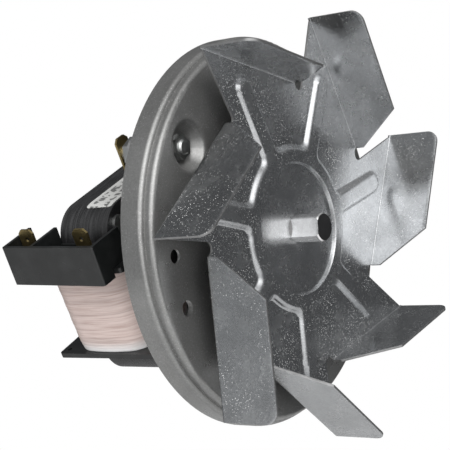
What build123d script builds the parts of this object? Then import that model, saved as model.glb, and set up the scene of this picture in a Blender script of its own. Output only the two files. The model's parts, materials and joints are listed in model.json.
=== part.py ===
from build123d import *
import os
from math import acos, cos, radians, sin

# Combustion fan: a shaded-pole motor behind a round pressed plate, with a
# seven-blade sheet-steel impeller in front of it.
#
# Millimetres.  The shaft lies along Y, +Z is up, and the origin is where the
# shaft axis meets the front face of the mounting plate.  "Depth" is the Y
# coordinate: it grows from the plate towards the motor, and the impeller has
# negative depths.  Motor parts are drawn in the motor's own axes, which are
# turned about the shaft: "across" runs from the coil to the rotor, and "up"
# runs along the coil limb.

# ---------------------------------------------------------------- impeller
blade_count = 7
blade_pitch = 360 / blade_count
blade_phase = 79.2          # angle of the first blade tip above +X
tip_radius = 75.0
sheet = 0.8                 # impeller sheet thickness
impeller_back = -8.2        # depth of the sheet's motor side
fold_end_radius = 50.6      # inner end of a blade's fold line
fold_end_angle = -43.5      # and its angle, counted from the blade's tip
lead_start_radius = 50.3    # inner end of a blade's leading edge
lead_start_angle = 2.5
notch_radius = 2.35         # relief notch between two blades
notch_centre_radius = 50.0
notch_angle = -46.2
bend_radius = 1.1           # outside radius of the fold
panel_height = 21.15        # blade panel, from the sheet's motor side
panel_flat_length = 38.3    # length of the panel's full height
panel_stub_height = 4.2
panel_corner = 4.4
emboss_height = 1.5         # ring and ribs pressed forward
emboss_taper = 38.0
ring_radius = 28.0
rib_end_radius = 57.0
rib_width = 7.8
rib_angle = -9.2
rib_root_fillet = 2.5
dish_rim_radius = 22.8
dish_wall_radius = 24.2
dish_floor_radius = 21.9
dish_rise = 0.2             # dish floor, in front of the sheet's front

# ---------------------------------------------------------------- shaft line
shaft_radius = 3.0
shaft_front = -18.4
shaft_back = 67.5
seat_gap = 0.02             # between the shaft and the pieces pressed on it
hub_radius = 4.9
hub_front = -20.1
hub_bore_end = -18.5
hub_flat = 3.9              # distance of the hub's flat from the axis
hub_flange_radius = 9.0
hub_flange = 1.8
hub_back = -2.6
running_gap = 0.04          # between the shaft and its bushes
rotor_radius = 15.6
rotor_ring_radius = 15.0
rotor_ring_hole = 9.0
rotor_ring = 3.0            # length of a cast end ring
thrust_washer = 2.4
thrust_washer_radius = 5.0

# ---------------------------------------------------------------- plate
plate_sheet = 0.9
plate_radius = 66.7
plate_depth = 11.2          # rim, front face to rear edge
step_radius = 65.0
step_depth = 3.1
plate_bends = [1.2, 0.5, 1.15]  # bend radii at the middle of the sheet
shaft_hole_radius = 8.0
dimple_depth = 5.3
dimple_mouth = 8.4
dimple_floor = 4.9
dimple_bends = [1.6, 0.8]
fixing_radius = 55.0        # pitch radius of the four fixing holes
fixing_angle = 26.4
fixing_hole = 2.6
locating_hole = 2.3
locating_angle = 188.5
lip_wall = 0.5
lip_height = 0.9

# ---------------------------------------------------------------- motor
motor_turn = 27.8           # motor axes, turned about the shaft
stack_front = 30.0
stack_back = 51.0
stack_mid = (stack_front + stack_back) / 2
core_up = 31.4              # half height
core_coil_side = -47.0
core_far_side = 27.0
core_corner = 11.7
core_far_corner = 7.0
bore_radius = 16.0
limb_inner = -33.0
window_side = -19.4
window_up = 17.0
tongue_length = 4.0
tongue_width = 8.0
notch_floor = 19.0          # slot that leaves a thin bridge beside the bore
notch_width = 6.2
ring_slot = (15.4, 12.6)    # slot in each pole for its shading ring
ring_slot_radius = 1.5
ring_wire = 2.0
rivet_spots = [(20.5, 24.0), (20.5, -24.0), (-39.5, 25.0), (-39.5, -25.0)]
rivet_radius = 1.75
rivet_head_radius = 3.0
rivet_head = 1.2

# ---------------------------------------------------------------- brackets
strap_turn = motor_turn + 121.7
strap_width = 11.0
strap_sheet = 1.5
ear_depth = 20.0            # front face of the front bracket
stud_pitch_radius = 52.3   # pitch radius of the two motor studs
bracket_screw_radius = 24.0
boss_radius = 7.0
boss_front = 15.6
bush_radius = 5.3
bush_gap = 0.05
felt_radius = 8.3
felt_length = 2.2
cap_sheet = 0.6
spacer_radius = 4.5
small_hole = 2.15           # clearance for the M4 bracket screws
small_shank = 2.0
stud_thread = 2.5           # M5 ends of the motor studs
stud_hole = 2.65
pillar_radius = 5.0         # the studs' thick middle, between plate and ear
ear_nut_back = 24.0
tab_seat = 26.5             # end of the M5 thread, where the earth tab is riveted
rivet_end = 27.9
rivet_shank = 1.7
nut_flange_radius = 4.2
nut_flange = 0.7
nut_height = 2.6
stub_end = 1.8              # depth of the studs' front ends
earth_sheet = 0.8
tab_above = 6.0             # reach of the earth tab above and below its stud
tab_below = 5.5

# ---------------------------------------------------------------- coil
bobbin_wall = 1.2
bobbin_gap = 0.2
flange_up = 16.9            # outer face of the bobbin flanges
flange_sheet = 1.7
flange_outer = -56.0
flange_inner = -20.5
flange_front = 20.0
flange_back = 63.0
flange_corner = 1.5
coil_outer = -52.4
coil_crown = -54.9          # the winding bulges outwards between its corners
coil_inner = -25.4
coil_front = 22.8
coil_back = 58.2
coil_corner = 8.5
tape = 0.5
tab_width = 6.3
tab_sheet = 0.8
tab_across = -54.0
tab_top = 31.2
tab_stem_width = 3.0
tab_stem = 0.9              # depth of the stem in the housing's floor
tab_chamfer = 1.4
tab_depths = {"terminal_tab_rear": 57.6, "terminal_tab_front": 33.7}

# ---------------------------------------------------------------- housing
housing_outer = -62.0
housing_inner = -47.6
housing_top = 28.6
housing_bottom = 14.7
housing_front = 23.0
housing_back = 62.6
housing_wall = 1.3
housing_floor = 18.4        # upper face of the floor
back_wall_top = 22.7
full_partition = 50.2
housing_edge = 1.0          # rounding of the housing's upright corners
housing_tilt = 2.4          # its front end hangs a little lower
low_partition = 38.2

# ---------------------------------------------------------------- label
label_end = -8.0
label_wrap = 18.0           # degrees round the stack's corner
label_depth = (30.9, 42.0)
label_thickness = 0.2
label_corner = 1.2


def facing(depth, turn=0.0):
    """A plane square to the shaft at a depth, seen from the impeller's side."""
    across = (cos(radians(turn)), 0, sin(radians(turn)))
    return Plane(origin=(0, depth, 0), x_dir=across, z_dir=(0, -1, 0))


def motor_face(depth):
    """A plane square to the shaft, drawn in the motor's own axes."""
    return facing(depth, motor_turn)


def strap_face(depth):
    """A plane square to the shaft, with local x along the bracket straps."""
    return facing(depth, strap_turn)


def motor_level(up):
    """A plane across the coil limb: local x is across, local y is depth."""
    turn = radians(motor_turn)
    return Plane(
        origin=(-up * sin(turn), 0, up * cos(turn)),
        x_dir=(cos(turn), 0, sin(turn)),
        z_dir=(-sin(turn), 0, cos(turn)),
    )


def tilted(piece):
    """A piece turned with the terminal housing, about the across axis through its middle."""
    middle = motor_level((housing_top + housing_bottom) / 2)
    pivot = middle.from_local_coords(Vector(0, (housing_front + housing_back) / 2, 0))
    return piece.rotate(Axis(pivot, middle.x_dir), housing_tilt)


def on_circle(radius, angle):
    return (radius * cos(radians(angle)), radius * sin(radians(angle)))


def span(start, end, low, high, mode=Mode.ADD):
    """A rectangle from its four limits, in the current sketch."""
    with Locations(((start + end) / 2, (low + high) / 2)):
        Rectangle(end - start, high - low, mode=mode)


def write(piece, name):
    piece.label = name
    export_step(piece, f"parts/{name}.step")


os.makedirs("parts", exist_ok=True)
shaft_line = Axis((0, 0, 0), (0, 1, 0))
stack_middle = Plane(origin=(0, stack_mid, 0), x_dir=(1, 0, 0), z_dir=(0, -1, 0))

# ================================================================ impeller
# One blade's plan, in the impeller's own axes with the tip on local x.
tip = Vector(tip_radius, 0)
fold_end = Vector(*on_circle(fold_end_radius, fold_end_angle))
lead_start = Vector(*on_circle(lead_start_radius, lead_start_angle))
fold_run = (fold_end - tip).normalized()
fold_inward = Vector(fold_run.Y, -fold_run.X)
fold_length = (fold_end - tip).length
lead_run = (lead_start - tip).normalized()
tip_cut = tip + lead_run * (bend_radius / sin(acos(lead_run.dot(fold_run))))
fold_end_cut = fold_end + fold_inward * bend_radius
sheet_front = impeller_back - sheet
emboss_front = sheet_front - emboss_height
dish_front = sheet_front - dish_rise


def turned(point, angle, depth):
    """A point or direction of the blade's plan, turned about the shaft."""
    place = point.rotate(Axis.Z, angle)
    return Vector(place.X, depth, place.Y)


def rib_star(shrink):
    """The raised ring's outline with a rib for each blade, in a sketch."""
    Circle(ring_radius - shrink)
    with PolarLocations(0, blade_count, start_angle=rib_angle):
        with Locations(((rib_end_radius - rib_width / 2) / 2, 0)):
            SlotOverall(rib_end_radius + rib_width / 2 - 2 * shrink, rib_width - 2 * shrink)


with BuildPart() as impeller:
    with BuildSketch(facing(impeller_back, blade_phase)):
        with BuildLine():
            outline = []
            for number in range(blade_count):
                for point in (lead_start, tip_cut, fold_end_cut):
                    outline.append(point.rotate(Axis.Z, -number * blade_pitch))
            Polyline(*outline, close=True)
        make_face()
        with PolarLocations(notch_centre_radius, blade_count, start_angle=notch_angle):
            Circle(notch_radius, mode=Mode.SUBTRACT)
            with Locations((notch_radius, 0)):
                Rectangle(2 * notch_radius, 2 * notch_radius, mode=Mode.SUBTRACT)
    extrude(amount=sheet)
    # Blade panels, each standing on its own fold line with a rolled bend.
    for number in range(blade_count):
        angle = blade_phase - number * blade_pitch
        corner = turned(tip, angle, impeller_back)
        inward = turned(fold_inward, angle, 0)
        run = turned(fold_run, angle, 0)
        with BuildSketch(Plane(origin=corner, x_dir=inward, z_dir=run)):
            with Locations((bend_radius, -bend_radius)):
                Circle(bend_radius)
                Circle(bend_radius - sheet, mode=Mode.SUBTRACT)
            span(bend_radius, 3 * bend_radius, -3 * bend_radius, 0, mode=Mode.SUBTRACT)
            span(0, 3 * bend_radius, -3 * bend_radius, -bend_radius, mode=Mode.SUBTRACT)
        extrude(amount=fold_length)
        with BuildSketch(Plane(origin=corner, x_dir=run, z_dir=inward)):
            with BuildLine():
                Polyline(
                    (panel_corner, panel_height),
                    (panel_flat_length, panel_height),
                    (fold_length, panel_stub_height),
                    (fold_length, bend_radius),
                    (0, bend_radius),
                    (0, panel_height - panel_corner),
                )
                CenterArc((panel_corner, panel_height - panel_corner), panel_corner, 90, 90)
            make_face()
        extrude(amount=sheet)
    # The raised ring and ribs, hollow behind like the rest of the sheet.
    with BuildSketch(facing(sheet_front, blade_phase)) as star:
        rib_star(0)
        fillet(star.vertices().sort_by_distance((0, 0, 0))[0 : 2 * blade_count], rib_root_fillet)
    extrude(amount=emboss_height, taper=emboss_taper)
    with BuildSketch(facing(impeller_back, blade_phase)) as hollow:
        rib_star(0.35)
        fillet(hollow.vertices().sort_by_distance((0, 0, 0))[0 : 2 * blade_count], rib_root_fillet)
    extrude(amount=emboss_height, taper=emboss_taper, mode=Mode.SUBTRACT)
    # The dished centre that sits on the hub.
    with BuildSketch(facing(0)):
        Circle(dish_wall_radius)
    extrude(amount=-emboss_front, mode=Mode.SUBTRACT)
    with BuildSketch(Plane.XY):
        with BuildLine():
            Polyline(
                (dish_wall_radius, emboss_front),
                (dish_rim_radius, emboss_front),
                (dish_floor_radius, dish_front),
                (hub_radius + seat_gap, dish_front),
                (hub_radius + seat_gap, dish_front + sheet),
                (dish_floor_radius + 0.5, dish_front + sheet),
                (dish_rim_radius + 0.7, emboss_front + sheet),
                (dish_wall_radius, emboss_front + sheet),
                close=True,
            )
        make_face()
    revolve(axis=shaft_line)
write(impeller.part, "impeller")

# ================================================================ shaft line
with BuildPart() as impeller_hub:
    with BuildSketch(facing(dish_front + sheet + hub_flange)):
        Circle(hub_flange_radius)
    extrude(amount=hub_flange)
    with BuildSketch(facing(hub_back)):
        Circle(hub_radius)
    extrude(amount=hub_back - hub_front)
    chamfer(impeller_hub.faces().sort_by(Axis.Y)[0].edges(), 0.4)
    with BuildSketch(facing(dish_front)):
        with Locations((-hub_flat, 0)):
            Rectangle(hub_radius, 3 * hub_radius, align=(Align.MAX, Align.CENTER))
    extrude(amount=dish_front - hub_front, mode=Mode.SUBTRACT)
    with BuildSketch(facing(hub_back)):
        Circle(shaft_radius + seat_gap)
    extrude(amount=hub_back - hub_bore_end, mode=Mode.SUBTRACT)
write(impeller_hub.part, "impeller_hub")

with BuildPart() as motor_shaft:
    with BuildSketch(facing(shaft_back)):
        Circle(shaft_radius)
    extrude(amount=shaft_back - shaft_front)
    chamfer(motor_shaft.edges().filter_by(GeomType.CIRCLE), 0.4)
write(motor_shaft.part, "motor_shaft")

with BuildPart() as rotor_core:
    with BuildSketch(facing(stack_back)):
        Circle(rotor_radius)
        Circle(shaft_radius + seat_gap, mode=Mode.SUBTRACT)
    extrude(amount=stack_back - stack_front)
write(rotor_core.part, "rotor_core")

with BuildPart() as rotor_end_rings:
    for depth in (stack_front, stack_back + rotor_ring):
        with BuildSketch(facing(depth)):
            Circle(rotor_ring_radius)
            Circle(rotor_ring_hole, mode=Mode.SUBTRACT)
        extrude(amount=rotor_ring)
write(rotor_end_rings.part, "rotor_end_rings")

with BuildPart() as thrust_washers:
    with BuildSketch(facing(stack_front - 0.05)):
        Circle(thrust_washer_radius)
        Circle(shaft_radius + seat_gap, mode=Mode.SUBTRACT)
    extrude(amount=thrust_washer)
    mirror(about=stack_middle)
write(thrust_washers.part, "thrust_washers")

# ================================================================ plate
with BuildPart() as mounting_plate:
    with BuildSketch(Plane.XY):
        with BuildLine():
            middle = plate_sheet / 2
            FilletPolyline(
                (shaft_hole_radius, middle),
                (step_radius - middle, middle),
                (step_radius - middle, step_depth + middle),
                (plate_radius - middle, step_depth + middle),
                (plate_radius - middle, plate_depth),
                radius=plate_bends,
            )
        trace(line_width=plate_sheet)
    revolve(axis=shaft_line)
    # A dimple for each motor stud.
    with BuildSketch(strap_face(plate_sheet)):
        with PolarLocations(stud_pitch_radius, 2):
            Circle(dimple_mouth + plate_sheet)
    extrude(amount=plate_sheet, mode=Mode.SUBTRACT)
    for side in (-1, 1):
        centre = strap_face(0).from_local_coords(Vector(side * stud_pitch_radius, 0, 0))
        with BuildSketch(Plane(origin=centre, x_dir=(1, 0, 0), z_dir=(0, 0, 1))):
            with BuildLine():
                FilletPolyline(
                    (dimple_mouth + plate_sheet, middle),
                    (dimple_mouth, middle),
                    (dimple_floor, dimple_depth + middle),
                    (stud_hole, dimple_depth + middle),
                    radius=dimple_bends,
                )
            trace(line_width=plate_sheet)
        revolve(axis=Axis(centre, (0, 1, 0)))
    # Fixing holes with a drawn lip, and two plain locating holes.
    with BuildSketch(facing(plate_sheet + lip_height)):
        with PolarLocations(fixing_radius, 4, start_angle=fixing_angle):
            Circle(fixing_hole + lip_wall)
    extrude(amount=plate_sheet + lip_height)
    with BuildSketch(facing(plate_sheet + lip_height)):
        with PolarLocations(fixing_radius, 4, start_angle=fixing_angle):
            Circle(fixing_hole)
        with PolarLocations(fixing_radius, 2, start_angle=locating_angle):
            Circle(locating_hole)
    extrude(amount=plate_sheet + lip_height, mode=Mode.SUBTRACT)
write(mounting_plate.part, "mounting_plate")

# ================================================================ stator
with BuildPart() as stator_core:
    with BuildSketch(motor_face(stack_back)) as lamination:
        span(core_coil_side, core_far_side, -core_up, core_up)
        fillet(lamination.vertices().group_by(Axis.X)[0], core_corner)
        fillet(lamination.vertices().group_by(Axis.X)[-1], core_far_corner)
        span(core_coil_side, window_side, -window_up, window_up, mode=Mode.SUBTRACT)
        with Locations(((core_coil_side + limb_inner) / 2, 0)):
            Rectangle(tongue_width, 2 * (window_up + tongue_length), mode=Mode.SUBTRACT)
        Circle(bore_radius, mode=Mode.SUBTRACT)
        span(notch_floor, core_far_side, -notch_width / 2, notch_width / 2, mode=Mode.SUBTRACT)
        for side in (-1, 1):
            with Locations((ring_slot[0], side * ring_slot[1])):
                Circle(ring_slot_radius, mode=Mode.SUBTRACT)
        with Locations(*rivet_spots):
            Circle(rivet_radius, mode=Mode.SUBTRACT)
    extrude(amount=stack_back - stack_front)
    with BuildSketch(strap_face(stack_back)):
        with PolarLocations(bracket_screw_radius, 2):
            Circle(small_hole)
    extrude(amount=stack_back - stack_front, mode=Mode.SUBTRACT)
write(stator_core.part, "stator_core")

with BuildPart() as coil_limb:
    with BuildSketch(motor_face(stack_back)):
        span(core_coil_side, limb_inner, -window_up, window_up)
        with Locations(((core_coil_side + limb_inner) / 2, 0)):
            Rectangle(tongue_width, 2 * (window_up + tongue_length))
    extrude(amount=stack_back - stack_front)
write(coil_limb.part, "coil_limb")

with BuildPart() as core_rivets:
    for depth, length, radius in (
        (stack_back + rivet_head, rivet_head, rivet_head_radius),
        (stack_back, stack_back - stack_front, rivet_radius - seat_gap),
        (stack_front, rivet_head, rivet_head_radius),
    ):
        with BuildSketch(motor_face(depth)):
            with Locations(*rivet_spots):
                Circle(radius)
        extrude(amount=length)
write(core_rivets.part, "core_rivets")

# A copper ring round part of each pole, through its slot and the notch.
with BuildPart() as shading_rings:
    for side in (-1, 1):
        inner = Vector(ring_slot[0], side * ring_slot[1])
        outer = Vector(notch_floor + 1.6, side * 1.6)
        centre = motor_face(stack_mid).from_local_coords((inner + outer) / 2)
        along = motor_face(0).from_local_coords(outer - inner)
        height = stack_back - stack_front + 2 * ring_wire
        length = (outer - inner).length + ring_wire
        with BuildSketch(Plane(origin=centre, x_dir=along, z_dir=along.cross(Vector(0, 1, 0)))):
            RectangleRounded(length, height, ring_wire)
            Rectangle(length - 2 * ring_wire, height - 2 * ring_wire, mode=Mode.SUBTRACT)
        extrude(amount=ring_wire / 2, both=True)
write(shading_rings.part, "shading_rings")

# ================================================================ coil
limb_low = core_coil_side - bobbin_gap
limb_high = limb_inner + bobbin_gap
with BuildPart() as coil_bobbin:
    with BuildSketch(motor_level(flange_up - flange_sheet)):
        span(
            limb_low - bobbin_wall,
            limb_high + bobbin_wall,
            stack_front - bobbin_gap - bobbin_wall,
            stack_back + bobbin_gap + bobbin_wall,
        )
    extrude(amount=-2 * (flange_up - flange_sheet))
    for level in (flange_up, flange_sheet - flange_up):
        with BuildSketch(motor_level(level)) as flange:
            span(flange_outer, flange_inner, flange_front, flange_back)
            fillet(flange.vertices().group_by(Axis.X)[0], flange_corner)
        extrude(amount=-flange_sheet)
    with BuildSketch(motor_level(flange_up)):
        span(limb_low, limb_high, stack_front - bobbin_gap, stack_back + bobbin_gap)
    extrude(amount=-2 * flange_up, mode=Mode.SUBTRACT)
    with BuildSketch(motor_level(flange_sheet - flange_up)):
        with Locations((flange_outer + 2.8, flange_back - 2.8)):
            Circle(0.8)
    extrude(amount=-flange_sheet, mode=Mode.SUBTRACT)
write(coil_bobbin.part, "coil_bobbin")

coil_up = flange_up - flange_sheet - 0.1
coil_mid = (coil_front + coil_back) / 2

# Outlines of the winding and of the tape around it, crowned on the outer side.
coil_outlines = []
for grow in (0, tape):
    with BuildSketch() as outline:
        with BuildLine():
            ThreePointArc(
                (coil_outer - grow, coil_front - grow),
                (coil_crown - grow, coil_mid),
                (coil_outer - grow, coil_back + grow),
            )
            Polyline(
                (coil_outer - grow, coil_back + grow),
                (coil_inner + grow, coil_back + grow),
                (coil_inner + grow, coil_front - grow),
                (coil_outer - grow, coil_front - grow),
            )
        make_face()
        fillet(outline.vertices(), coil_corner + grow)
    coil_outlines.append(outline.sketch)
turns_outline, tape_outline = coil_outlines

with BuildPart() as coil_winding:
    with BuildSketch(motor_level(coil_up)):
        add(turns_outline)
        span(
            limb_low - bobbin_wall - 0.1,
            limb_high + bobbin_wall + 0.1,
            stack_front - bobbin_gap - bobbin_wall - 0.1,
            stack_back + bobbin_gap + bobbin_wall + 0.1,
            mode=Mode.SUBTRACT,
        )
    extrude(amount=-2 * coil_up)
write(coil_winding.part, "coil_winding")

with BuildPart() as coil_tape:
    with BuildSketch(motor_level(coil_up)):
        add(tape_outline)
        add(turns_outline, mode=Mode.SUBTRACT)
    extrude(amount=-2 * coil_up)
write(coil_tape.part, "coil_tape")

# ================================================================ terminals
with BuildPart() as terminal_housing:
    with BuildSketch(motor_level(housing_top)) as block:
        span(housing_outer, housing_inner, housing_front, housing_back)
        fillet(block.vertices().group_by(Axis.X)[0], housing_edge)
    extrude(amount=housing_bottom - housing_top)
    cell_ends = [
        (housing_front + housing_wall, low_partition - housing_wall / 2),
        (low_partition + housing_wall / 2, full_partition - housing_wall / 2),
        (full_partition + housing_wall / 2, housing_back - housing_wall),
    ]
    with BuildSketch(motor_level(housing_top)):
        for front, back in cell_ends:
            span(housing_outer + housing_wall, housing_inner - housing_wall, front, back)
    extrude(amount=housing_floor - housing_top, mode=Mode.SUBTRACT)
    # Only the end wall and one partition keep their full height at the back.
    with BuildSketch(motor_level(housing_top)):
        span(
            housing_inner - housing_wall,
            housing_inner,
            housing_front + housing_wall,
            full_partition - housing_wall / 2,
        )
        span(
            housing_inner - housing_wall,
            housing_inner,
            full_partition + housing_wall / 2,
            housing_back - housing_wall,
        )
        span(
            housing_outer + housing_wall,
            housing_inner,
            low_partition - housing_wall / 2,
            low_partition + housing_wall / 2,
        )
    extrude(amount=back_wall_top - housing_top, mode=Mode.SUBTRACT)
    # Slots for the stems of the two tabs.
    with BuildSketch(motor_level(housing_floor)):
        for depth in tab_depths.values():
            with Locations((tab_across, depth)):
                Rectangle(tab_sheet + 0.1, tab_stem_width + 0.1)
    extrude(amount=flange_up - housing_floor, mode=Mode.SUBTRACT)

# The housing's floor rests on the bobbin's upper flange.
with BuildPart() as flange_room:
    with BuildSketch(motor_level(flange_up)):
        span(flange_outer - bobbin_gap, housing_inner + 2, housing_front - 2, housing_back + 2)
    extrude(amount=-3 * flange_sheet)
write(tilted(terminal_housing.part) - flange_room.part, "terminal_housing")

turn_out = Vector(-cos(radians(motor_turn)), 0, -sin(radians(motor_turn)))
for name, depth in tab_depths.items():
    with BuildPart() as tab:
        # Local y is up, and the sheet lies square to the across axis.
        base = motor_face(depth).from_local_coords(Vector(tab_across + tab_sheet / 2, 0, 0))
        with BuildSketch(Plane(origin=base, x_dir=(0, -1, 0), z_dir=turn_out)) as blade:
            span(-tab_width / 2, tab_width / 2, housing_floor, tab_top)
            chamfer(blade.vertices().group_by(Axis.Y)[-1], tab_chamfer)
            span(-tab_stem_width / 2, tab_stem_width / 2, housing_floor - tab_stem, housing_floor)
            with Locations((0, tab_top - 3.6)):
                Circle(0.85, mode=Mode.SUBTRACT)
        extrude(amount=tab_sheet)
    write(tilted(tab.part), name)

# ================================================================ brackets
with BuildPart() as front_bracket:
    with BuildSketch(strap_face(ear_depth + strap_sheet)):
        Rectangle(2 * stud_pitch_radius, strap_width)
        Circle(boss_radius + 5)
        with PolarLocations(stud_pitch_radius, 2):
            Circle(strap_width / 2)
            Circle(stud_hole, mode=Mode.SUBTRACT)
        with PolarLocations(bracket_screw_radius, 2):
            Circle(small_hole, mode=Mode.SUBTRACT)
    extrude(amount=strap_sheet)
    with BuildSketch(strap_face(ear_depth)):
        Circle(boss_radius)
    extrude(amount=ear_depth - boss_front)
    with BuildSketch(strap_face(ear_depth + strap_sheet)):
        Circle(bush_radius + bush_gap)
    extrude(amount=ear_depth + strap_sheet - boss_front, mode=Mode.SUBTRACT)
write(front_bracket.part, "front_bracket")

with BuildPart() as rear_bracket:
    with BuildSketch(strap_face(2 * stack_mid - ear_depth)):
        SlotCenterToCenter(2 * bracket_screw_radius, strap_width)
        Circle(boss_radius + 5)
        with PolarLocations(bracket_screw_radius, 2):
            Circle(small_hole, mode=Mode.SUBTRACT)
    extrude(amount=strap_sheet)
    with BuildSketch(strap_face(2 * stack_mid - boss_front)):
        Circle(boss_radius)
    extrude(amount=ear_depth - boss_front)
    with BuildSketch(strap_face(2 * stack_mid - boss_front)):
        Circle(bush_radius + bush_gap)
    extrude(amount=ear_depth + strap_sheet - boss_front, mode=Mode.SUBTRACT)
write(rear_bracket.part, "rear_bracket")

# Bushes, oil felts and the caps that hold them, alike at both ends.
strap_back = ear_depth + strap_sheet
felt_back = strap_back + felt_length
with BuildPart() as front_bush:
    with BuildSketch(facing(felt_back + cap_sheet)):
        Circle(bush_radius)
        Circle(shaft_radius + running_gap, mode=Mode.SUBTRACT)
    extrude(amount=felt_back + cap_sheet - boss_front)
write(front_bush.part, "front_bush")

with BuildPart() as rear_bush:
    mirror(front_bush.part, about=stack_middle)
write(rear_bush.part, "rear_bush")

with BuildPart() as front_oil_felt:
    with BuildSketch(facing(felt_back)):
        Circle(felt_radius)
        Circle(bush_radius + bush_gap, mode=Mode.SUBTRACT)
    extrude(amount=felt_length)
write(front_oil_felt.part, "front_oil_felt")

with BuildPart() as rear_oil_felt:
    mirror(front_oil_felt.part, about=stack_middle)
write(rear_oil_felt.part, "rear_oil_felt")

with BuildPart() as front_felt_cap:
    with BuildSketch(facing(felt_back + cap_sheet)):
        Circle(felt_radius + bush_gap + cap_sheet)
    extrude(amount=felt_length + cap_sheet)
    with BuildSketch(facing(felt_back)):
        Circle(felt_radius + bush_gap)
    extrude(amount=felt_length, mode=Mode.SUBTRACT)
    with BuildSketch(facing(felt_back + cap_sheet)):
        Circle(bush_radius + bush_gap)
    extrude(amount=cap_sheet, mode=Mode.SUBTRACT)
write(front_felt_cap.part, "front_felt_cap")

with BuildPart() as rear_felt_cap:
    mirror(front_felt_cap.part, about=stack_middle)
write(rear_felt_cap.part, "rear_felt_cap")

# ================================================================ fasteners
with BuildPart() as bracket_spacers:
    for depth in (stack_front, 2 * stack_mid - strap_back):
        with BuildSketch(strap_face(depth)):
            with PolarLocations(bracket_screw_radius, 2):
                Circle(spacer_radius)
                Circle(small_hole, mode=Mode.SUBTRACT)
        extrude(amount=stack_front - strap_back)
write(bracket_spacers.part, "bracket_spacers")

rear_face = 2 * stack_mid - ear_depth
with BuildPart() as bracket_screws:
    with BuildSketch(strap_face(rear_face + 5)):
        with PolarLocations(bracket_screw_radius, 2):
            Circle(small_shank)
    extrude(amount=rear_face + 5 - ear_depth)
    with BuildSketch(strap_face(ear_depth)):
        with PolarLocations(bracket_screw_radius, 2):
            Circle(1.8 * small_shank)
    extrude(amount=2.6)
write(bracket_screws.part, "bracket_screws")

with BuildPart() as bracket_nuts:
    with BuildSketch(strap_face(rear_face + 3.2)):
        with PolarLocations(bracket_screw_radius, 2):
            RegularPolygon(3.5, 6, major_radius=False)
            Circle(small_shank + seat_gap, mode=Mode.SUBTRACT)
    extrude(amount=3.2)
write(bracket_nuts.part, "bracket_nuts")

# Each motor stud is a pillar with a threaded end through the plate and another
# through the bracket's ear, and a rivet shank at the back.
dimple_back = dimple_depth + plate_sheet
with BuildPart() as motor_studs:
    for back, front, radius in (
        (rivet_end, tab_seat, rivet_shank),
        (tab_seat, ear_depth, stud_thread),
        (ear_depth, dimple_back, pillar_radius),
        (dimple_back, stub_end, stud_thread),
    ):
        with BuildSketch(strap_face(back)):
            with PolarLocations(stud_pitch_radius, 2):
                Circle(radius)
        extrude(amount=back - front)
    chamfer(motor_studs.faces().sort_by(Axis.Y)[0:2].edges(), 0.5)
write(motor_studs.part, "motor_studs")

with BuildPart() as ear_nuts:
    with BuildSketch(strap_face(ear_nut_back)):
        with PolarLocations(stud_pitch_radius, 2):
            RegularPolygon(4.5, 6, rotation=12, major_radius=False)
            Circle(stud_thread + seat_gap, mode=Mode.SUBTRACT)
    extrude(amount=ear_nut_back - ear_depth - strap_sheet)
write(ear_nuts.part, "ear_nuts")

with BuildPart() as mounting_nuts:
    with BuildSketch(strap_face(dimple_depth)):
        with PolarLocations(stud_pitch_radius, 2):
            Circle(nut_flange_radius)
    extrude(amount=nut_flange)
    with BuildSketch(strap_face(dimple_depth - nut_flange)):
        with PolarLocations(stud_pitch_radius, 2):
            RegularPolygon(3.5, 6, major_radius=False)
    extrude(amount=nut_height - nut_flange)
    with BuildSketch(strap_face(dimple_depth)):
        with PolarLocations(stud_pitch_radius, 2):
            Circle(stud_thread + seat_gap)
    extrude(amount=nut_height, mode=Mode.SUBTRACT)
write(mounting_nuts.part, "mounting_nuts")

# The earth tab is a plain blade on the rivet shank of the upper stud.
stud_across = stud_pitch_radius * cos(radians(strap_turn - motor_turn))
stud_up = stud_pitch_radius * sin(radians(strap_turn - motor_turn))
with BuildPart() as earth_tab:
    with BuildSketch(motor_face(tab_seat + earth_sheet)) as blade:
        span(
            stud_across - tab_width / 2,
            stud_across + tab_width / 2,
            stud_up - tab_below,
            stud_up + tab_above,
        )
        chamfer(blade.vertices().group_by(Axis.Y)[-1], tab_chamfer)
        chamfer(blade.vertices().group_by(Axis.Y)[0], tab_chamfer / 2)
        with Locations((stud_across, stud_up)):
            Circle(rivet_shank + seat_gap, mode=Mode.SUBTRACT)
    extrude(amount=earth_sheet)
write(earth_tab.part, "earth_tab")

# The label lies on the flat top of the stack and a little way round its corner.
label_bend = core_corner + label_thickness / 2
with BuildPart() as rating_label:
    with BuildSketch(motor_face(label_depth[1])):
        with BuildLine():
            Line(
                (label_end, core_up + label_thickness / 2),
                (core_coil_side + core_corner, core_up + label_thickness / 2),
            )
            CenterArc(
                (core_coil_side + core_corner, core_up - core_corner),
                label_bend,
                90,
                label_wrap,
            )
        trace(line_width=label_thickness)
    extrude(amount=label_depth[1] - label_depth[0])
    corners = rating_label.edges().filter_by(lambda edge: edge.length < 1.5 * label_thickness)
    fillet(corners, label_corner)
write(rating_label.part, "rating_label")
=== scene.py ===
import json
import math

import bmesh
import bpy
from mathutils import Matrix, Vector


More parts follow.
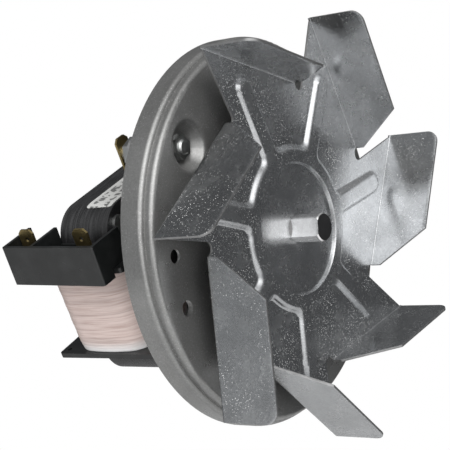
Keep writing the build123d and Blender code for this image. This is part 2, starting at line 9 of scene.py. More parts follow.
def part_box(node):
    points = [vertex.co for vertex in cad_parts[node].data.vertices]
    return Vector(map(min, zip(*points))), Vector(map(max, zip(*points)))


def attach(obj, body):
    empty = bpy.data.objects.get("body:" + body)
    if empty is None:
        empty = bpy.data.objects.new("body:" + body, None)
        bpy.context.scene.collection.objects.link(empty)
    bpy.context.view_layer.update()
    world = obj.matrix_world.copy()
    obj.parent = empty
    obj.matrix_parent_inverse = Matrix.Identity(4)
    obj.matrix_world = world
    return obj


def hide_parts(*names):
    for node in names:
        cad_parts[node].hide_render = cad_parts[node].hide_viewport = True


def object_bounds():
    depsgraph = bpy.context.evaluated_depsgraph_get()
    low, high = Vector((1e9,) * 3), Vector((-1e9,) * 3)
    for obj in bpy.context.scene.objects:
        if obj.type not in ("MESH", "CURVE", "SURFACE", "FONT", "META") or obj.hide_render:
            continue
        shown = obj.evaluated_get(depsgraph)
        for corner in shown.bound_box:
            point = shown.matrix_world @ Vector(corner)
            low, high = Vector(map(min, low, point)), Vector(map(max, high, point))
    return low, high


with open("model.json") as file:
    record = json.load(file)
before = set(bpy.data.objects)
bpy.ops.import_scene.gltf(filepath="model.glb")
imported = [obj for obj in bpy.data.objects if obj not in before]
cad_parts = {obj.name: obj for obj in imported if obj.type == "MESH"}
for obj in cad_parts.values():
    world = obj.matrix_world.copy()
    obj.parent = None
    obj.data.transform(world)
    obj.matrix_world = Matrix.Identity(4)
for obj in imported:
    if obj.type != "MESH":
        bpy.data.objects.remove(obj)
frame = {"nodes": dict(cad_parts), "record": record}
cad_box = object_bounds()
MM = 0.001


# ------------------------------------------------------------ node helpers
def new_material(name):
    """A material with its Principled shader, ready for nodes."""
    material = bpy.data.materials.new(name)
    material.use_nodes = True
    return material, material.node_tree.nodes["Principled BSDF"]


def add(material, kind, **inputs):
    """A node with its plain inputs set by name."""
    node = material.node_tree.nodes.new(kind)
    for key, value in inputs.items():
        node.inputs[key.replace("_", " ")].default_value = value
    return node


def join(material, source, target):
    material.node_tree.links.new(source, target)


def place(material, scale=(1, 1, 1), source="Object"):
    """Texture coordinates in metres, on the object or along the unwrapped surface."""
    coordinates = add(material, "ShaderNodeTexCoord")
    mapping = add(material, "ShaderNodeMapping")
    mapping.inputs["Scale"].default_value = scale
    join(material, coordinates.outputs[source], mapping.inputs["Vector"])
    return mapping.outputs["Vector"]


def component(material, vector, axis):
    """One axis of a vector socket."""
    node = add(material, "ShaderNodeSeparateXYZ")
    join(material, vector, node.inputs["Vector"])
    return node.outputs[axis]


def noise(material, where, scale, detail, roughness):
    """Cloudy noise from 0 to 1, with scale in cells to the metre."""
    node = add(material, "ShaderNodeTexNoise", Scale=scale, Detail=detail, Roughness=roughness)
    join(material, where, node.inputs["Vector"])
    return node.outputs["Fac"]


def ramp(material, factor, stops):
    """A colour ramp from (position, grey or colour) stops."""
    node = add(material, "ShaderNodeValToRGB")
    join(material, factor, node.inputs["Fac"])
    elements = node.color_ramp.elements
    while len(elements) < len(stops):
        elements.new(0.5)
    for element, (position, value) in zip(elements, stops):
        element.position = position
        grey = isinstance(value, (int, float))
        element.color = (value, value, value, 1) if grey else (*value, 1)
    return node.outputs["Color"]


def blend(material, factor, first, second, kind="MIX"):
    """Two colours, each a socket or a tuple, mixed by a factor."""
    node = add(material, "ShaderNodeMix")
    node.data_type = "RGBA"
    node.blend_type = kind
    if isinstance(factor, float):
        node.inputs[0].default_value = factor
    else:
        join(material, factor, node.inputs[0])
    for socket, value in ((node.inputs[6], first), (node.inputs[7], second)):
        if isinstance(value, tuple):
            socket.default_value = (*value, 1)
        else:
            join(material, value, socket)
    return node.outputs[2]


def bump(material, shader, height, strength, distance):
    """Fine relief from a height socket."""
    node = add(material, "ShaderNodeBump", Strength=strength, Distance=distance)
    join(material, height, node.inputs["Height"])
    join(material, node.outputs["Normal"], shader.inputs["Normal"])


# ------------------------------------------------------------ materials
def sheet_steel(name, colour, roughness, speckle, metal=1.0):
    """Coated sheet: soft clouding, a fine grain, and bright dust-like specks in drifts."""
    material, shader = new_material(name)
    where = place(material)
    clouds = ramp(material, noise(material, where, 45, 4, 0.6), [(0.3, 0.72), (0.7, 1.0)])
    grain = ramp(material, noise(material, where, 1500, 2, 0.6), [(0.3, 0.80), (0.7, 1.0)])
    tone = blend(material, 1.0, clouds, grain, "MULTIPLY")
    tone = blend(material, 1.0, tone, colour, "MULTIPLY")
    cells = add(material, "ShaderNodeTexVoronoi", Scale=1900.0)
    join(material, where, cells.inputs["Vector"])
    dots = ramp(material, cells.outputs["Distance"], [(0.12, 1.0), (0.32, 0.0)])
    drift = ramp(material, noise(material, where, 70, 4, 0.7), [(0.36, 0.10), (0.66, 1.0)])
    chosen = ramp(material, cells.outputs["Color"], [(0.42, 0.0), (0.75, speckle)])
    specks = blend(material, 1.0, dots, drift, "MULTIPLY")
    specks = blend(material, 1.0, specks, chosen, "MULTIPLY")
    tone = blend(material, specks, tone, (0.92, 0.92, 0.90))
    join(material, tone, shader.inputs["Base Color"])
    join(material, ramp(material, specks, [(0.0, metal), (0.6, 0.15)]), shader.inputs["Metallic"])
    patches = noise(material, where, 110, 4, 0.65)
    rough = ramp(material, patches, [(0.3, roughness - 0.04), (0.7, roughness + 0.06)])
    join(material, rough, shader.inputs["Roughness"])
    bump(material, shader, noise(material, where, 800, 3, 0.6), 0.10, 0.0002)
    return material


def plain_metal(name, colour, roughness, ends=1.0, grain=700, strength=0.12):
    """Turned, pressed or plated metal with slight mottling, and painted shade darkening the faces
    square to the shaft.
    """
    material, shader = new_material(name)
    where = place(material)
    shader.inputs["Metallic"].default_value = 1.0
    tone = ramp(material, noise(material, where, 160, 4, 0.6), [(0.3, 0.72), (0.7, 1.0)])
    tone = blend(material, 1.0, tone, colour, "MULTIPLY")
    # Painted shade: the ends factor darkens faces square to the shaft, standing in for a dark
    # reflection.
    if ends < 1.0:
        coordinates = add(material, "ShaderNodeTexCoord")
        square = add(material, "ShaderNodeMath")
        square.operation = "ABSOLUTE"
        join(material, component(material, coordinates.outputs["Normal"], "Y"), square.inputs[0])
        painted_end_shade = ramp(material, square.outputs["Value"], [(0.90, 1.0), (0.97, ends)])
        tone = blend(material, 1.0, tone, painted_end_shade, "MULTIPLY")
    join(material, tone, shader.inputs["Base Color"])
    patches = noise(material, where, 300, 3, 0.6)
    rough = ramp(material, patches, [(0.3, roughness), (0.7, roughness + 0.12)])
    join(material, rough, shader.inputs["Roughness"])
    bump(material, shader, noise(material, where, grain, 3, 0.6), strength, 0.0001)
    return material


def plastic(name, colour, roughness):
    """Moulded black plastic with a fine matt grain and faint scuffs."""
    material, shader = new_material(name)
    where = place(material)
    light = tuple(min(1.0, c * 2.2 + 0.01) for c in colour)
    scuff = ramp(material, noise(material, where, 120, 5, 0.7), [(0.45, 0.0), (0.8, 0.7)])
    join(material, blend(material, scuff, colour, light), shader.inputs["Base Color"])
    patches = noise(material, where, 200, 3, 0.6)
    rough = ramp(material, patches, [(0.3, roughness - 0.08), (0.7, roughness + 0.08)])
    join(material, rough, shader.inputs["Roughness"])
    bump(material, shader, noise(material, where, 2600, 2, 0.5), 0.25, 0.00005)
    return material


def laminated(name, colour, pitch):
    """Varnished laminations: fine lines square to the shaft, dusty clouding and rubbed sheets."""
    material, shader = new_material(name)
    where = place(material)
    bands = math.pi / (10 * pitch)      # the wave node's scale for bands at this pitch
    lines = add(material, "ShaderNodeTexWave", Scale=bands, Distortion=0.5, Detail=2.0)
    lines.bands_direction = "Y"
    join(material, where, lines.inputs["Vector"])
    dust = ramp(material, noise(material, where, 150, 5, 0.65), [(0.4, 0.0), (0.85, 0.5)])
    light = tuple(min(1.0, c * 2.4 + 0.015) for c in colour)
    tone = blend(material, dust, colour, light)
    rubbed = noise(material, place(material, (0.04, 1, 0.04)), 1800, 3, 0.6)
    tone = blend(material, ramp(material, rubbed, [(0.50, 0.0), (0.60, 1.0)]), tone, light)
    edge = ramp(material, lines.outputs["Fac"], [(0.35, 0.55), (0.75, 1.0)])
    join(material, blend(material, 1.0, tone, edge, "MULTIPLY"), shader.inputs["Base Color"])
    shader.inputs["Roughness"].default_value = 0.42
    bump(material, shader, lines.outputs["Fac"], 0.15, 0.0001)
    return material


def fibrous(name, colour, dark):
    """Felt or fibre: soft matt colour with fibres."""
    material, shader = new_material(name)
    fibres = noise(material, place(material), 500, 5, 0.7)
    tone = ramp(material, fibres, [(0.35, 0.0), (0.65, 1.0)])
    join(material, blend(material, tone, dark, colour), shader.inputs["Base Color"])
    shader.inputs["Roughness"].default_value = 0.85
    bump(material, shader, fibres, 0.3, 0.0002)
    return material


def printed(name, paper, ink, depth):
    """A paper label with two rows of plain printed marks that spell nothing."""
    material, shader = new_material(name)
    across = add(material, "ShaderNodeMapRange")
    across.inputs["From Min"].default_value = depth[0]
    across.inputs["From Max"].default_value = depth[1]
    join(material, component(material, place(material), "Y"), across.inputs["Value"])
    rows = []
    for low, high in ((0.14, 0.39), (0.52, 0.86)):
        rows += [(low, 0.0), (low + 0.03, 1.0), (high - 0.03, 1.0), (high, 0.0)]
    row = ramp(material, across.outputs["Result"], rows)
    marks = noise(material, place(material, (1, 0.5, 1)), 700, 1, 0.5)
    mark = ramp(material, marks, [(0.49, 0.0), (0.54, 0.8)])
    here = blend(material, 1.0, row, mark, "MULTIPLY")
    join(material, blend(material, here, paper, ink), shader.inputs["Base Color"])
    shader.inputs["Roughness"].default_value = 0.6
    return material


def wound_tape(name, colour, dark, edge):
    """Cotton tape wound round the coil: fibres run along the turns, with a pale lower edge."""
    material, shader = new_material(name)
    fibres = noise(material, place(material, (60, 1500, 1), "UV"), 1.0, 4, 0.6)
    turns = noise(material, place(material, (25, 330, 1), "UV"), 1.0, 3, 0.6)
    tone = blend(material, ramp(material, fibres, [(0.32, 0.0), (0.56, 1.0)]), dark, colour)
    shade = ramp(material, turns, [(0.36, 0.84), (0.52, 1.0)])
    tone = blend(material, 1.0, tone, shade, "MULTIPLY")
    height = component(material, place(material, source="UV"), "Y")
    rim = ramp(material, height, [(0.0009, 1.0), (0.0013, 0.0)])
    join(material, blend(material, rim, tone, edge), shader.inputs["Base Color"])
    shader.inputs["Roughness"].default_value = 0.8
    bump(material, shader, fibres, 0.4, 0.0002)
    return material


LABEL_DEPTH = (0.0309, 0.0420)      # where the label lies along the shaft
LOOKS = {
    "galvanised_steel": (sheet_steel, (0.54, 0.55, 0.56), 0.25, 0.90),
    "cut_edge": (plain_metal, (0.30, 0.30, 0.30), 0.50),
    "plate_steel": (sheet_steel, (0.27, 0.27, 0.265), 0.30, 0.35, 0.74),
    # turned_steel's last value, 0.22, is painted shade on the faces square to the shaft.
    "turned_steel": (plain_metal, (0.84, 0.84, 0.84), 0.09, 0.22),
    "zinc_steel": (plain_metal, (0.62, 0.63, 0.62), 0.30),
    "bracket_alloy": (plain_metal, (0.55, 0.55, 0.55), 0.40),
    "black_laminations": (laminated, (0.006, 0.006, 0.0065), 0.0005),
    "bare_laminations": (laminated, (0.25, 0.25, 0.26), 0.0006),
    "cast_aluminium": (plain_metal, (0.60, 0.60, 0.61), 0.45, 1.0, 400, 0.3),
    "copper": (plain_metal, (0.75, 0.36, 0.22), 0.30),
    "winding_copper": (plain_metal, (0.62, 0.28, 0.16), 0.35),
    "coil_yarn": (wound_tape, (0.55, 0.45, 0.42), (0.40, 0.30, 0.27), (0.72, 0.72, 0.72)),
    "black_plastic": (plastic, (0.004, 0.0045, 0.0045), 0.34),
    "brass": (plain_metal, (0.38, 0.30, 0.14), 0.35),
    "bronze": (plain_metal, (0.45, 0.30, 0.16), 0.50),
    "felt": (fibrous, (0.60, 0.56, 0.48), (0.42, 0.38, 0.31)),
    "fibre": (fibrous, (0.36, 0.22, 0.12), (0.25, 0.14, 0.07)),
    "label_paper": (printed, (0.36, 0.36, 0.35), (0.03, 0.03, 0.03), LABEL_DEPTH),
}
materials = {name: make(name, *values) for name, (make, *values) in LOOKS.items()}
slots = {part["node"]: part["material_slot"] for part in frame["record"]["subparts"]}
for node, thing in frame["nodes"].items():
    thing.data.materials.clear()
    thing.data.materials.append(materials[slots[node]])


# ------------------------------------------------------------ pieces
def piece_from(name, mesh, slot, body, *nodes):
    """An object for a finished mesh, riding on a body in place of CAD nodes."""
    piece = bpy.data.objects.new(name, mesh)
    bpy.context.scene.collection.objects.link(piece)
    if not mesh.materials:
        mesh.materials.append(materials[slot])
    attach(piece, body)
    if nodes:
        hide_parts(*nodes)
    return piece


def settled(name, mesh, *modifiers, sharp=35):
    """The mesh with modifiers applied, smooth except at its sharp edges."""
    holder = bpy.data.objects.new(name + "_raw", mesh)
    bpy.context.scene.collection.objects.link(holder)
    for kind, settings in modifiers:
        modifier = holder.modifiers.new(kind.lower(), kind)
        for key, value in settings.items():
            setattr(modifier, key, value)
    graph = bpy.context.evaluated_depsgraph_get()
    result = bpy.data.meshes.new_from_object(holder.evaluated_get(graph))
    result.name = name
    bpy.data.objects.remove(holder)
    bpy.data.meshes.remove(mesh)
    result.shade_smooth()
    result.set_sharp_from_angle(angle=math.radians(sharp))
    return result


def span(grid, one, two):
    """Faces between two open lines of as many vertices."""
    for low in range(len(one) - 1):
        grid.faces.new((one[low], one[low + 1], two[low + 1], two[low]))


def wrap(grid, one, two):
    """Faces between two closed lines of as many vertices."""
    return [
        grid.faces.new((one[i], one[(i + 1) % len(one)], two[(i + 1) % len(one)], two[i]))
        for i in range(len(one))
    ]


def finished(grid, name):
    """The mesh of a grid, with its faces turned outward."""
    bmesh.ops.recalc_face_normals(grid, faces=grid.faces)
    mesh = bpy.data.meshes.new(name)
    grid.to_mesh(mesh)
    grid.free()
    return mesh


def smooth(value):
    """A smooth step from 0 to 1."""
    value = max(0.0, min(1.0, value))
    return value * value * (3 - 2 * value)


def polar(radius, angle):
    """A point of the plan, from a radius and an angle in degrees."""
    return Vector((radius * math.cos(math.radians(angle)), radius * math.sin(math.radians(angle))))


# ------------------------------------------------------------ impeller
# Driving dimensions in millimetres and degrees, the same as the CAD part's. Each blade is worked
# out in a plan of its own, with its tip on the X axis, and then turned into place.
BLADES = 7
PITCH = 360 / BLADES
PHASE = 79.2                # where the first blade's tip stands
TIP = Vector((75.0, 0))
FOLD_END = polar(50.6, -43.5)
LEAD_START = polar(50.3, 2.5)       # where the straight leading edge begins
NOTCH_RADIUS = 2.35
NOTCH_CENTRE = 50.0
NOTCH_ANGLE = -46.2
SHEET = 0.8                 # thickness
SHEET_MIDDLE = -8.6         # Y of the sheet's middle surface
BEND = 1.1                  # outer radius of the fold
PANEL_HEIGHT = 21.15
PANEL_FLAT = 38.3           # how far along the fold the blade keeps its height
PANEL_STUB = 4.2            # height at the fold's inner end
PANEL_CORNER = 4.4
EMBOSS = 1.5                # height of ring and ribs
RING_RADIUS = 28.0
RIB_END = 57.0
RIB_WIDTH = 7.8
RIB_ANGLE = -9.2
RIB_BLEND = 3.2             # how softly the ribs run into the ring
FLANK = 1.8                 # width of the slope at a rib's side
FLANK_START = 0.4           # how far outside a rib's nominal edge the slope begins
DISH = 0.2                  # how far the dish's floor stands in front of the sheet
DISH_FLOOR = 22.2
DISH_RIM = 22.8
HUB_HOLE = 4.92
EDGE_ROUND = 0.07           # rounding of the cut edges

# How finely the sheet is divided.
LEAD_STEPS = 5
TIP_STEPS = 6
FOLD_STEPS = 44
STUB_STEPS = 12
NOTCH_STEPS = 12
BEND_ROWS = 6
PANEL_ROWS = 14
OUTER_ROWS = 26
OUTER_START = 45            # radius where the rows begin to follow the sheet's outline


def emboss(point):
    """Height of the pressing at a point of the plan: ring, ribs and dish."""
    radius = point.length
    angle = math.degrees(math.atan2(point.y, point.x)) - RIB_ANGLE
    angle = math.radians((angle + PITCH / 2) % PITCH - PITCH / 2)
    along, aside = radius * math.cos(angle), radius * math.sin(angle)
    beyond = max(0.0, along - (RIB_END - RIB_WIDTH / 2))
    rib = math.hypot(beyond, aside) - RIB_WIDTH / 2
    ring = radius - RING_RADIUS
    near = max(0.0, min(1.0, 0.5 + (ring - rib) / (2 * RIB_BLEND)))
    distance = ring + (rib - ring) * near - RIB_BLEND * near * (1 - near)
    height = EMBOSS * smooth((FLANK_START - distance) / FLANK)
    inside = smooth((DISH_RIM - radius) / (DISH_RIM - DISH_FLOOR))
    return height + (DISH - height) * inside


def impeller_mesh():
    """The sheet as one grid in polar columns that fold up into the blades."""
    fold_run = (FOLD_END - TIP).normalized()
    inward = Vector((fold_run.y, -fold_run.x))
    lead_run = (LEAD_START - TIP).normalized()
    corner = math.acos(lead_run.dot(fold_run))
    length = (FOLD_END - TIP).length
    first = BEND / math.tan(corner)

    def panel_top(run):
        """Height of the blade's upper edge at a place along the fold."""
        if run < PANEL_CORNER:
            drop = PANEL_CORNER - run
            return PANEL_HEIGHT - PANEL_CORNER + math.sqrt(PANEL_CORNER**2 - drop**2)
        fall = max(0.0, run - PANEL_FLAT) / (length - PANEL_FLAT)
        return PANEL_HEIGHT + (PANEL_STUB - PANEL_HEIGHT) * fall

    # Each column: the sheet's outer point, and its place along the fold (or none).
    lead_end = TIP + lead_run * (BEND / math.sin(corner))
    columns = [(LEAD_START.lerp(lead_end, step / LEAD_STEPS), None) for step in range(LEAD_STEPS)]
    swings = [math.pi / 2 * step / TIP_STEPS for step in range(TIP_STEPS)]
    front_runs = [first * (1 - math.cos(swing)) for swing in swings]
    runs = [first + (PANEL_FLAT - first) * step / FOLD_STEPS for step in range(FOLD_STEPS + 1)]
    stub = (length - PANEL_FLAT) / STUB_STEPS
    runs += [PANEL_FLAT + stub * step for step in range(1, STUB_STEPS + 1)]
    columns += [(TIP + fold_run * run + inward * BEND, run) for run in runs]
    for step in range(1, NOTCH_STEPS):
        across = NOTCH_RADIUS * -math.cos(math.pi * step / NOTCH_STEPS)
        swing = math.degrees(math.asin(across / NOTCH_CENTRE))
        reach = math.sqrt(NOTCH_CENTRE**2 - across**2) - math.sqrt(NOTCH_RADIUS**2 - across**2)
        columns.append((polar(reach, NOTCH_ANGLE - swing), None))

    # Rows are closest where the dish's rim and the ring's slopes are.
    inner_radii = [HUB_HOLE, 8, 13, 18, 20.5, 21.3] + [21.8 + 0.2 * step for step in range(8)]
    inner_radii += [24 + 0.5 * step for step in range(17)] + [33 + step for step in range(13)]
    grid = bmesh.new()
    whole = []
    for blade in range(BLADES):
        turn = math.radians(PHASE - blade * PITCH)

        def spot(flat, height):
            """A vertex from this blade's plan and a height above the sheet."""
            x = flat.x * math.cos(turn) - flat.y * math.sin(turn)
            z = flat.x * math.sin(turn) + flat.y * math.cos(turn)
            return grid.verts.new((x * MM, (SHEET_MIDDLE - height) * MM, z * MM))

        def folded(run):
            """Points of the rolled bend and the panel above one place on the fold."""
            base = TIP + fold_run * run
            middle = BEND - SHEET / 2
            rows = []
            for step in range(1, BEND_ROWS + 1):
                swing = math.pi / 2 * step / BEND_ROWS
                back = BEND - middle * math.sin(swing)
                rows.append((base + inward * back, middle - middle * math.cos(swing)))
            top = panel_top(run) - SHEET / 2
            low = rows[-1][1]
            for step in range(1, PANEL_ROWS + 1):
                rows.append((base + inward * SHEET / 2, low + (top - low) * step / PANEL_ROWS))
            return rows

        blade_front = [[spot(*row) for row in folded(run)] for run in front_runs]
        for outer, run in columns:
            reach = outer.length
            heading = outer / reach
            radii = list(inner_radii)
            for step in range(1, OUTER_ROWS + 1):
                radii.append(OUTER_START + (reach - OUTER_START) * step / OUTER_ROWS)
            column = [spot(heading * radius, emboss(heading * radius)) for radius in radii]
            panel = [spot(*row) for row in folded(run)] if run is not None else []
            whole.append((column, panel))
            if run is not None and blade_front:
                chain = blade_front + [panel]
                for one, two in zip(chain, chain[1:]):
                    span(grid, one, two)
                blade_front = []
    for (column, panel), (next_column, next_panel) in zip(whole, whole[1:] + whole[:1]):
        if panel and next_panel:
            span(grid, column + panel, next_column + next_panel)
        else:
            span(grid, column, next_column)
    return finished(grid, "impeller_sheet")


sheet_mesh = impeller_mesh()
sheet_mesh.materials.append(materials["galvanised_steel"])
sheet_mesh.materials.append(materials["cut_edge"])
thicken = {
    "thickness": SHEET * MM,
    "offset": 0.0,
    "use_even_offset": True,
    "material_offset_rim": 1,
}
round_edges = {"width": EDGE_ROUND * MM, "segments": 2, "angle_limit": math.radians(60)}
pressed = settled("pressed_impeller", sheet_mesh, ("SOLIDIFY", thicken), ("BEVEL", round_edges))
piece_from("pressed_impeller", pressed, "galvanised_steel", "rotor", "impeller")


# ------------------------------------------------------------ laminations
LAMINATION = 0.5 * MM       # thickness of one sheet
SHEET_DRIFT = 0.05 * MM     # how far back the most uneven sheet lies
GOLDEN_SHARE = 0.618034     # spreads the unevenness over the sheets
GROOVE = 0.03               # depth of the groove between two sheets
# Rows across one sheet's edge: the share of its thickness, and how far back the row lies.
GROOVE_ROWS = ((0.0, GROOVE), (0.12, 0.0), (0.88, 0.0), (1.0, GROOVE))
SAME_SPOT = 1e-6            # vertices closer than this are taken as one place


def end_loops(mesh, depth):
    """The outline loops of a flat end face, as ordered points."""
    source = bmesh.new()
    source.from_mesh(mesh)
    bmesh.ops.remove_doubles(source, verts=source.verts, dist=SAME_SPOT)
    caps = [f for f in source.faces if all(abs(v.co.y - depth) < SAME_SPOT for v in f.verts)]
    rim = {}
    for face in caps:
        for edge in face.edges:
            rim[edge] = rim.get(edge, 0) + 1
    follow = {}
    for edge, count in rim.items():
        if count == 1:
            one, two = edge.verts
            follow.setdefault(one, []).append(two)
            follow.setdefault(two, []).append(one)
    loops = []
    while follow:
        start = next(iter(follow))
        loop, here, previous = [], start, None
        while here in follow:
            steps = follow.pop(here)
            loop.append(here.co.copy())
            here, previous = next((v for v in steps if v is not previous), start), here
        loops.append(loop)
    source.free()
    return loops


def laminated_mesh(name, node):
    """A core rebuilt as its separate sheets, each a little back at its joint with the next."""
    low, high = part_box(node)
    loops = []
    for loop in end_loops(frame["nodes"][node].data, low[1]):
        flat = [Vector((point.x, point.z)) for point in loop]
        area = sum(a.x * b.y - b.x * a.y for a, b in zip(flat, flat[1:] + flat[:1]))
        loops.append((flat, 1 if area > 0 else -1))
    # The outer outline shrinks and each hole grows where the sheets meet.
    reaches = [max(point.length for point in flat) for flat, sense in loops]
    widest = reaches.index(max(reaches))
    count = round((high[1] - low[1]) / LAMINATION)
    step = (high[1] - low[1]) / count
    stack = bmesh.new()
    for number in range(count):
        start = low[1] + number * step
        drift = SHEET_DRIFT * ((number * GOLDEN_SHARE) % 1) ** 3
        for index, (flat, sense) in enumerate(loops):
            side = sense if index == widest else -sense
            neighbours = list(zip(flat[-1:] + flat[:-1], flat, flat[1:] + flat[:1]))
            lines = []
            for share, back in GROOVE_ROWS:
                line = []
                for before, here, after in neighbours:
                    tangent = (here - before).normalized() + (after - here).normalized()
                    inner = Vector((-tangent.y, tangent.x)).normalized() * side
                    flat_spot = here + inner * (back * MM + drift)
                    line.append(stack.verts.new((flat_spot.x, start + share * step, flat_spot.y)))
                lines.append(line)
            for one, two in zip(lines, lines[1:]):
                wrap(stack, one, two)
    # The end faces come straight from the CAD node.
    ends = bmesh.new()
    ends.from_mesh(frame["nodes"][node].data)
    for face in ends.faces:
        depths = [v.co.y for v in face.verts]
        if max(depths) - min(depths) < SAME_SPOT:
            stack.faces.new([stack.verts.new(v.co) for v in face.verts])
    ends.free()
    bmesh.ops.remove_doubles(stack, verts=stack.verts, dist=1e-7)
    return finished(stack, name)


for name, node in (("stator_sheets", "stator_core"), ("limb_sheets", "coil_limb")):
    sheets = settled(name, laminated_mesh(name, node))
    piece_from(name, sheets, "black_laminations", "motor_and_plate", node)


# ------------------------------------------------------------ coil wrapping
# Across and up are the motor's own axes, turned about the shaft from X and Z.
MOTOR_TURN = math.radians(27.8)
COIL_UP = 15.1              # half the tape's height
COIL_OUTER = -52.9          # across, at the outer side's edges
COIL_CROWN = -55.4          # across, at the middle of the outer side
COIL_INNER = -24.9
COIL_FRONT = 22.3
COIL_BACK = 58.7
COIL_MIDDLE = (COIL_FRONT + COIL_BACK) / 2
COIL_CORNER = 9.0
CORNER_STEPS = 10
CROWN_STEPS = 24
TAPE_ROWS = 92
TURNS = 23                  # turns of tape that show as ridges
RIDGE = 0.10                # how far a ridge stands out
DRAWN_IN = 0.45             # how far the ends are pulled in at the flanges
WANDER = 0.06               # slow unevenness from turn to turn
TUBE_WALL = 1.0             # how far in the tube's inner face lies


def coil_outline():
    """Points round the wrapped coil as (across, depth), crowned on the outer side."""
    flat_half = (COIL_BACK - COIL_FRONT) / 2 - COIL_CORNER
    near, far = COIL_INNER - COIL_CORNER, COIL_OUTER + COIL_CORNER
    corners = (
        (near, COIL_MIDDLE + flat_half, 0),
        (far, COIL_MIDDLE + flat_half, 90),
        (far, COIL_MIDDLE - flat_half, 180),
        (near, COIL_MIDDLE - flat_half, 270),
    )
    points = []
    for across, depth, start in corners:
        for step in range(CORNER_STEPS + 1):
            out = COIL_CORNER * polar(1, start + 90 * step / CORNER_STEPS)
            points.append((across + out.x, depth + out.y))
        if start == 90:
            halves = [1 - 2 * step / CROWN_STEPS for step in range(1, CROWN_STEPS)]
            points += [(COIL_OUTER, COIL_MIDDLE + flat_half * half) for half in halves]
    crowned = []
    for across, depth in points:
        bulge = max(0.0, 1 - ((depth - COIL_MIDDLE) / (flat_half + COIL_CORNER)) ** 2)
        share = smooth((far - across) / COIL_CORNER)
        crowned.append((across + (COIL_CROWN - COIL_OUTER) * bulge * share, depth))
    return crowned


def coil_wrapping():
    """The tape: a ridge for each turn, full in the middle, and drawn in at the flanges."""
    outline = coil_outline()
    centre = Vector(((COIL_INNER + COIL_OUTER) / 2, COIL_MIDDLE))
    grid = bmesh.new()
    layer = grid.loops.layers.uv.new("UVMap")
    run = [0.0]
    for here, after in zip(outline, outline[1:] + outline[:1]):
        run.append(run[-1] + math.dist(here, after))

    def ring(level, inset):
        """Vertices round the coil at one level, drawn in by the inset."""
        line = []
        for across, depth in outline:
            out = (Vector((across, depth)) - centre).normalized()
            across, depth = across - out.x * inset, depth - out.y * inset
            x = across * math.cos(MOTOR_TURN) - level * math.sin(MOTOR_TURN)
            z = across * math.sin(MOTOR_TURN) + level * math.cos(MOTOR_TURN)
            line.append(grid.verts.new((x * MM, depth * MM, z * MM)))
        return line

    levels, insets = [], []
    for row in range(TAPE_ROWS + 1):
        share = row / TAPE_ROWS
        turn = math.cos(math.tau * share * TURNS + 1.3 * math.sin(share * 19))
        drawn = DRAWN_IN * (2 * share - 1) ** 6
        levels.append(COIL_UP * (2 * share - 1))
        insets.append(RIDGE * (0.5 + 0.5 * turn) + drawn + WANDER * math.sin(share * 31))
    # The inner face goes back down, so that the tape is a closed tube.
    levels += [COIL_UP, -COIL_UP]
    insets += [TUBE_WALL, TUBE_WALL]
    lines = [ring(*pair) for pair in zip(levels, insets)]
    for first in range(len(lines)):
        second = (first + 1) % len(lines)
        for i, face in enumerate(wrap(grid, lines[first], lines[second])):
            spots = ((i, first), (i + 1, first), (i + 1, second), (i, second))
            for loop, (place_along, row) in zip(face.loops, spots):
                loop[layer].uv = (run[place_along] * MM, (levels[row] + COIL_UP) * MM)
    return finished(grid, "coil_wrapping")


wrapping = settled("coil_wrapping", coil_wrapping(), sharp=60)
piece_from("coil_wrapping", wrapping, "coil_yarn", "motor_and_plate", "coil_tape", "coil_winding")


# ------------------------------------------------------------ camera
camera = bpy.data.objects.new("camera", bpy.data.cameras.new("camera"))
bpy.context.scene.collection.objects.link(camera)
axes = (
    (0.60305, -0.79671, -0.03982),      # to the camera's right
    (0.0, -0.04992, 0.99875),           # upward
    (-0.79770, -0.60230, -0.03010),     # back from the part toward the camera
)
stand = Matrix.Translation((-0.37094, -0.25875, -0.01130))
camera.matrix_world = stand @ Matrix(axes).transposed().to_4x4()
camera.data.sensor_width = 36
camera.data.lens = 105.6
camera.data.clip_start = 0.01
bpy.context.scene.camera = camera


# ------------------------------------------------------------ floor and light
FLOOR_HALF = 0.7
FLOOR_DROP = 0.25           # from the part's lowest point down to the floor
corners = [(x * FLOOR_HALF, y * FLOOR_HALF, 0) for x, y in ((-1, -1), (1, -1), (1, 1), (-1, 1))]
floor_mesh = bpy.data.meshes.new("floor")
floor_mesh.from_pydata(corners, [], [(0, 1, 2, 3)])
floor = bpy.data.objects.new("floor", floor_mesh)
floor.location.z = cad_box[0][2] - FLOOR_DROP
bpy.context.scene.collection.objects.link(floor)
floor_material, floor_shader = new_material("floor")
floor_shader.inputs["Base Color"].default_value = (0.72, 0.72, 0.72, 1)
floor_shader.inputs["Roughness"].default_value = 0.9
floor_mesh.materials.append(floor_material)

# Patches of the studio's light: direction, where the fade starts and ends, strength, colour.
PATCHES = (
    ((0, 0, 1), -1.6, -1.5, 0.13, (0.95, 0.97, 1.0)),
    ((-0.74, -0.52, 0.42), 0.50, 0.96, 2.3, (1.0, 1.0, 1.0)),
    ((-0.80, 0.60, 0.10), 0.45, 0.98, 0.22, (0.95, 0.98, 1.0)),
    ((0.1, -0.5, 0.86), 0.40, 0.95, 0.35, (1.0, 1.0, 1.0)),
)
world = bpy.data.worlds.new("studio")
bpy.context.scene.world = world
world.use_nodes = True
nodes, links = world.node_tree.nodes, world.node_tree.links
seen = nodes["Background"]
seen.inputs["Color"].default_value = (1, 1, 1, 1)
seen.inputs["Strength"].default_value = 1.0
lighting = nodes.new("ShaderNodeBackground")
heading = nodes.new("ShaderNodeTexCoord")


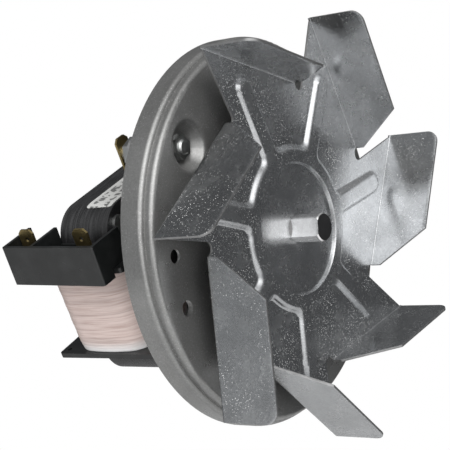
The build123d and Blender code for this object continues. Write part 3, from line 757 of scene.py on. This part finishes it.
def soft_patch(direction, start, end, strength, colour):
    """A broad patch of light on the studio's walls, fading out round its direction."""
    dot = nodes.new("ShaderNodeVectorMath")
    dot.operation = "DOT_PRODUCT"
    dot.inputs[1].default_value = Vector(direction).normalized()
    links.new(heading.outputs["Generated"], dot.inputs[0])
    fade = nodes.new("ShaderNodeMapRange")
    fade.interpolation_type = "SMOOTHSTEP"
    fade.inputs["From Min"].default_value = start
    fade.inputs["From Max"].default_value = end
    fade.inputs["To Max"].default_value = strength
    links.new(dot.outputs["Value"], fade.inputs["Value"])
    scale = nodes.new("ShaderNodeVectorMath")
    scale.operation = "SCALE"
    scale.inputs[0].default_value = colour
    links.new(fade.outputs["Result"], scale.inputs["Scale"])
    return scale.outputs["Vector"]


total, *others = [soft_patch(*patch) for patch in PATCHES]
for light in others:
    summed = nodes.new("ShaderNodeVectorMath")
    links.new(total, summed.inputs[0])
    links.new(light, summed.inputs[1])
    total = summed.outputs["Vector"]
links.new(total, lighting.inputs["Color"])
path = nodes.new("ShaderNodeLightPath")
either = nodes.new("ShaderNodeMixShader")
links.new(path.outputs["Is Camera Ray"], either.inputs[0])
links.new(lighting.outputs[0], either.inputs[1])
links.new(seen.outputs[0], either.inputs[2])
links.new(either.outputs[0], nodes["World Output"].inputs["Surface"])


def lamp(name, spot, target, side, power, mirrored=True):
    """A square lamp at a spot, turned to its target, and seen in reflections or not."""
    light = bpy.data.lights.new(name, "AREA")
    light.shape = "SQUARE"
    light.size = side
    light.energy = power
    thing = bpy.data.objects.new(name, light)
    thing.location = spot
    thing.rotation_euler = (Vector(target) - Vector(spot)).to_track_quat("-Z", "Y").to_euler()
    thing.visible_glossy = mirrored
    bpy.context.scene.collection.objects.link(thing)


lamp("front_left", (-1.1, -0.9, 0.7), (0, 0, 0), 0.9, 3.4)
lamp("front_fill", (-0.7, -1.25, -0.15), (0, 0, 0), 0.9, 5, mirrored=False)
lamp("floor_wash", (-0.45, -0.4, 0.5), (-0.45, -0.4, 0), 0.5, 7, mirrored=False)
bpy.context.scene.view_settings.view_transform = "Standard"
